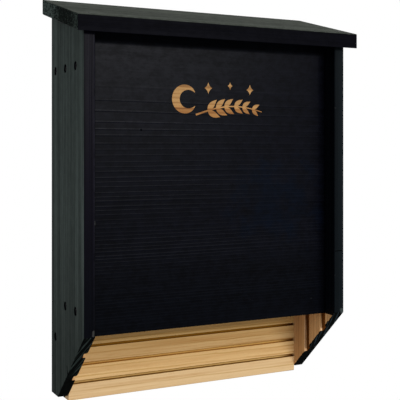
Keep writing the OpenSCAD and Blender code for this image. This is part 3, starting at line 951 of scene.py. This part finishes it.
def inlay(name, across, up, proud=INLAY_PROUD):
    """A thin closed slab whose plan is the grid (across, up), in metres from the ornament's centre;
    its top is crowned towards the rim, and its underside lies in the panel."""
    rows, columns = across.shape
    rim = np.zeros((rows, columns), bool)
    rim[0], rim[-1], rim[:, 0], rim[:, -1] = True, True, True, True
    x = ORNAMENT_X + across
    z = ORNAMENT_Z + up
    top = PANEL_Y - proud + INLAY_ROUND * rim
    points = np.concatenate([
        np.stack([x, top, z], axis=-1).reshape(-1, 3),
        np.stack([x, np.full_like(x, PANEL_Y + INLAY_SUNK), z], axis=-1).reshape(-1, 3),
    ])
    index = np.arange(rows * columns).reshape(rows, columns)
    around = [index[:-1, :-1], index[:-1, 1:], index[1:, 1:], index[1:, :-1]]
    quads = np.stack(around, axis=-1).reshape(-1, 4)
    under = quads[:, ::-1] + rows * columns
    edge = np.concatenate([index[0, :-1], index[:-1, -1], index[-1, :0:-1], index[:0:-1, 0]])
    after = np.roll(edge, -1)
    walls = np.stack([edge, after, after + rows * columns, edge + rows * columns], axis=-1)
    faces = np.concatenate([quads, under, walls]).tolist()
    solid(name, points, faces, INLAY_CEDAR)


def strip(spine, half_width, columns=5):
    """Grid of a strip along a spine: at each point of the spine it reaches half_width to both sides,
    square to the spine's direction."""
    along = np.gradient(spine, axis=0)
    along /= np.linalg.norm(along, axis=1, keepdims=True)
    side = np.stack([-along[:, 1], along[:, 0]], axis=1)
    reach = np.linspace(-1, 1, columns)[None, :, None] * half_width[:, None, None]
    grid = spine[:, None, :] + reach * side[:, None, :]
    return grid[..., 0], grid[..., 1]


def crescent(centre, radius, thickness):
    """A strip along 290 degrees of a circle, open to the right, whose half width is half the thickness
    times a power of a sine, cut off just short of its ends so that the tips keep a little width."""
    u = np.linspace(0, 1, 41)
    turn = np.radians(35) + u * np.radians(290)
    middle = radius - thickness / 2
    spine = np.stack([centre[0] + middle * np.cos(turn), centre[1] + middle * np.sin(turn)], axis=1)
    return strip(spine, thickness / 2 * np.sin(np.pi * np.clip(u, 0.004, 0.996)) ** 0.8)


def leaf(root, length, direction, bend):
    """A strip along a line that bends aside with the square of the way along it, whose half width is
    a fifth of the length times a skewed sine of the way, cut off just short of its ends."""
    u = np.linspace(0, 1, 21)
    forward = np.array([math.cos(direction), math.sin(direction)])
    aside = np.array([-forward[1], forward[0]])
    spine = np.array(root) + length * (u[:, None] * forward + bend * (u ** 2)[:, None] * aside)
    return strip(spine, length * 0.2 * np.sin(np.pi * np.clip(u, 0.006, 0.994) ** 0.8) ** 1.1)


def star(centre, reach):
    """A four-pointed star: the curve x = a cos^3 t, y = b sin^3 t, filled from its centre."""
    turn = np.linspace(0, 2 * np.pi, 49)
    away = np.linspace(0.05, 1, 5)[:, None]
    return centre[0] + away * 0.75 * reach * np.cos(turn) ** 3, centre[1] + away * reach * np.sin(turn) ** 3


def ornament():
    """Crescent at the left, twig with paired leaves to the right, stars above it. The twig's spine is a
    line to the right, lifted by most of a sine arch and a slow rise; its leaves shorten towards the
    tip."""
    inlay("ornament_crescent", *crescent((-42.5 * MM, 3.5 * MM), 19 * MM, 10 * MM))
    u = np.linspace(0, 1, 41)
    twig = np.stack([(-30 + 92 * u) * MM, (-15 + 10 * np.sin(np.pi * u * 0.9) + 2 * u) * MM], axis=1)
    inlay("ornament_twig", *strip(twig, (1.1 - 0.6 * u) * MM, 3), TWIG_PROUD)
    for number in range(6):
        at = twig[int(7 + 5.4 * number)]
        length = (18.5 - 1.3 * number) * MM
        for side, label in ((1, "upper"), (-1, "lower")):
            turn = side * math.radians(44) + math.radians(12 - 4 * number)
            inlay(f"ornament_{label}_leaf_{number}", *leaf(at, length, turn, -0.15 * side))
    for number, (x, z, reach) in enumerate(((-13, 17.5, 7.5), (17, 21, 5), (45, 17, 7))):
        inlay(f"ornament_star_{number}", *star((x * MM, z * MM), reach * MM))


ornament()


# Camera, light and surroundings


# Camera fitted to the box's straight edges: metres, degrees, millimetres, share of the frame
CAMERA_PLACE = (-0.482, -1.013, -0.106)
CAMERA_TURN = -26.74
CAMERA_LENS = 76.74
CAMERA_SHIFT = -0.1228

# Strength of the room's grey light; the floor in metres
ROOM_LEVEL = 0.35
FLOOR_PLACE = (0, -0.1, -0.9)
FLOOR_RADIUS = 1.6


def place_camera():
    """Level camera in front of the box's left corner, a little below the ornament."""
    camera = bpy.data.cameras.new("camera")
    camera.sensor_width = 36.0
    camera.lens = CAMERA_LENS
    camera.shift_y = CAMERA_SHIFT
    holder = bpy.data.objects.new("camera", camera)
    holder.location = CAMERA_PLACE
    holder.rotation_euler = (math.radians(90), 0.0, math.radians(CAMERA_TURN))
    bpy.context.collection.objects.link(holder)
    bpy.context.scene.camera = holder


def set_world():
    """White to the camera, in gloss and through glass, a plain grey light on everything else."""
    world = bpy.data.worlds.new("studio")
    world.use_nodes = True
    bpy.context.scene.world = world
    g = Graph(world.node_tree)
    background = world.node_tree.nodes["Background"]
    g.add("ShaderNodeLightPath")
    rays = g.last.outputs
    seen = g.math("MAXIMUM", rays["Is Camera Ray"],
                  g.math("MAXIMUM", rays["Is Glossy Ray"], rays["Is Transmission Ray"]))
    g.feed(background.inputs["Color"], (1, 1, 1, 1))
    g.feed(background.inputs["Strength"], g.math("MULTIPLY_ADD", seen, 1.0 - ROOM_LEVEL, ROOM_LEVEL))


def softbox(name, place_at, aim, width, height, power):
    """A rectangular area lamp with level long sides, aimed at a point; metres and watts."""
    lamp = bpy.data.lights.new(name, "AREA")
    lamp.shape = "RECTANGLE"
    lamp.size, lamp.size_y = width, height
    lamp.energy = power
    holder = bpy.data.objects.new(name, lamp)
    holder.location = place_at
    direction = np.array(place_at) - np.array(aim)
    yaw = math.atan2(direction[0], -direction[1])
    pitch = math.atan2(direction[2], math.hypot(direction[0], direction[1]))
    holder.rotation_euler = (math.pi / 2 - pitch, 0.0, yaw)
    bpy.context.collection.objects.link(holder)


def pale_floor():
    """Plain pale floor well below the hanging box."""
    bpy.ops.mesh.primitive_circle_add(
        vertices=96, radius=FLOOR_RADIUS, fill_type="NGON", location=FLOOR_PLACE)
    floor = bpy.context.object
    floor.name = "pale_floor"
    material, g, shader = new_material("pale_floor")
    cloudy = g.noise(g.add("ShaderNodeTexCoord", "Object"), 3.0)
    g.feed(shader.inputs["Base Color"], g.mix(cloudy, (0.8, 0.8, 0.8, 1), (0.84, 0.84, 0.84, 1)))
    shader.inputs["Roughness"].default_value = 0.9
    floor.data.materials.append(material)


place_camera()
set_world()
softbox("front_softbox", place_at=(0.47, -1.85, 0.31), aim=(0, -0.1, -0.1),
        width=0.9, height=0.25, power=26)
softbox("left_softbox", place_at=(-2.2, -0.9, 0.3), aim=(0, -0.1, -0.15),
        width=1.0, height=1.0, power=9)
pale_floor()
bpy.context.scene.view_settings.view_transform = "Standard"
